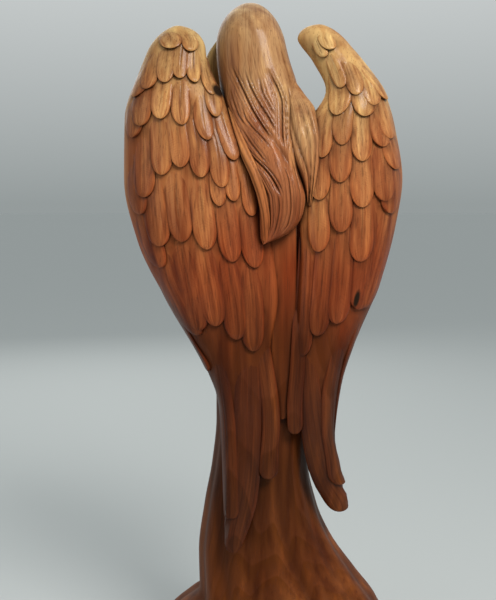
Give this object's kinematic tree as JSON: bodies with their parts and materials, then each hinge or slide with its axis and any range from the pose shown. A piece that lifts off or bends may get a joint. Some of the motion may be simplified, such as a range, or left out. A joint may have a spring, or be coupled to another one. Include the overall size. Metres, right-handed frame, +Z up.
{
  "type": "wooden angel statue",
  "caption": "Carved wooden angel in a flowing robe, with long hair, folded feathered wings and joined hands, on a low round base.",
  "frame": {"origin": "middle of the round base's underside", "axes": "+Z up; the figure faces -Y; its left side is +X"},
  "size_m": [0.246, 0.246, 0.5958],
  "materials": {
    "carved_wood": "clear satin varnish"
  },
  "bodies": {
    "root": {"angel_statue": "carved_wood"}
  },
  "joints": []
}
